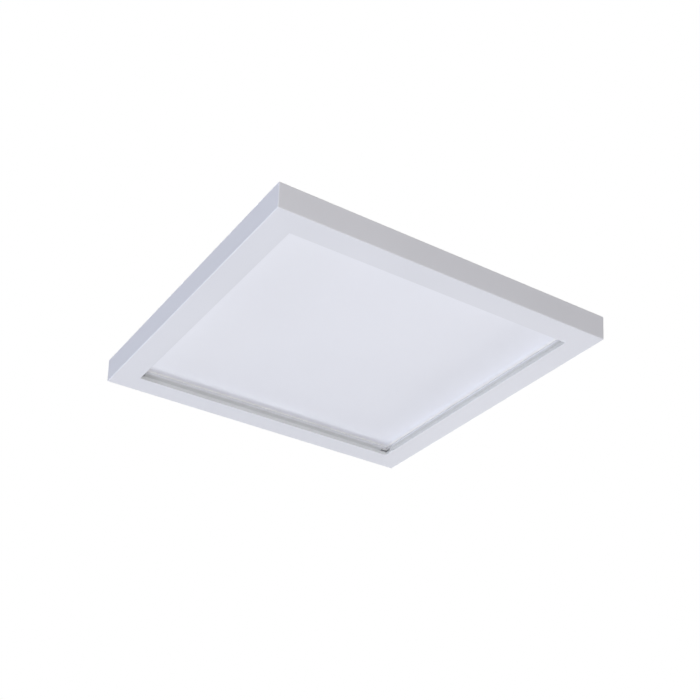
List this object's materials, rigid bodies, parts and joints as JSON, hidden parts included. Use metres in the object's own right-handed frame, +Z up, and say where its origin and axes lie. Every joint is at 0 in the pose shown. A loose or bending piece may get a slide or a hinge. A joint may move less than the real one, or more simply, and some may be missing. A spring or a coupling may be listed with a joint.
{
  "type": "flush mount ceiling light",
  "caption": "Slim square flush mount ceiling light: moulded frame with a recessed opal lens, edge-lit stack, rear driver box and a junction-box bracket with snap springs.",
  "frame": {"origin": "centre of the ceiling plane, which is the top face of the bracket and the rear rim of the frame", "axes": "+Z up, away from the room; X and Y along the sides of the square; the light hangs below z = 0"},
  "size_m": [0.3, 0.3, 0.0401],
  "materials": {
    "frame": "fine matte white moulding",
    "tray": "white baked enamel on folded sheet",
    "lens": "opal diffusing acrylic",
    "guide": "clear acrylic light guide",
    "reflector": "white reflecting film",
    "strip": "white solder mask on aluminium strip",
    "led": "yellow phosphor in a white package",
    "silicone": "translucent silicone",
    "zinc": "zinc plated steel",
    "steel_plate": "pre-painted white steel",
    "foam": "closed-cell foam",
    "housing": "flame-retardant white moulding",
    "board": "green solder mask",
    "film": "insulating film",
    "nylon": "natural nylon",
    "ferrite": "sintered ferrite",
    "copper": "enamelled copper wire",
    "bobbin": "black phenolic",
    "can": "sleeved aluminium can",
    "filmcap": "yellow box capacitor",
    "chip": "black epoxy",
    "terminal": "green terminal body",
    "spring": "bright spring steel",
    "galvanised": "galvanised sheet",
    "green_screw": "green passivated steel",
    "knob": "black moulding",
    "fuse": "brown sleeve"
  },
  "bodies": {
    "bracket": {"mounting_bracket": "galvanised", "ground_screw": "green_screw"},
    "luminaire": {"frame": "frame", "lens_tray": "tray", "lens": "lens", "light_guide": "guide", "reflector_sheet": "reflector", "guide_cushions": "silicone", "led_strip_right": "strip", "led_strip_rear": "strip", "led_strip_left": "strip", "led_strip_front": "strip", "leds_right": "led", "leds_rear": "led", "leds_left": "led", "leds_front": "led", "back_plate": "steel_plate", "back_plate_screws": "zinc", "ceiling_gasket": "foam", "driver_housing": "housing", "driver_screws": "zinc", "insulation_sheet": "film", "driver_board": "board", "board_standoffs": "nylon", "retaining_spring_right": "spring", "retaining_spring_left": "spring", "spring_rivets": "zinc", "transformer_core": "ferrite", "transformer_bobbin": "bobbin", "transformer_winding": "copper", "input_capacitor": "can", "output_capacitor": "can", "choke_core": "ferrite", "choke_winding": "copper", "film_capacitor": "filmcap", "bridge_rectifier": "chip", "driver_chip": "chip", "fuse": "fuse", "output_connector": "nylon", "mains_terminal": "terminal", "terminal_screws": "zinc", "selector_switch": "zinc"},
    "selector": {"selector_knob": "knob"}
  },
  "joints": [
    {"name": "luminaire_release", "type": "slide", "parent": "bracket", "child": "luminaire", "axis": [0, 0, -1], "range_m": [0, 0.045], "deforming": ["retaining_spring_right", "retaining_spring_left"]},
    {"name": "selector_slide", "type": "slide", "parent": "luminaire", "child": "selector", "axis": [1, 0, 0], "range_m": [-0.002, 0.002]}
  ]
}
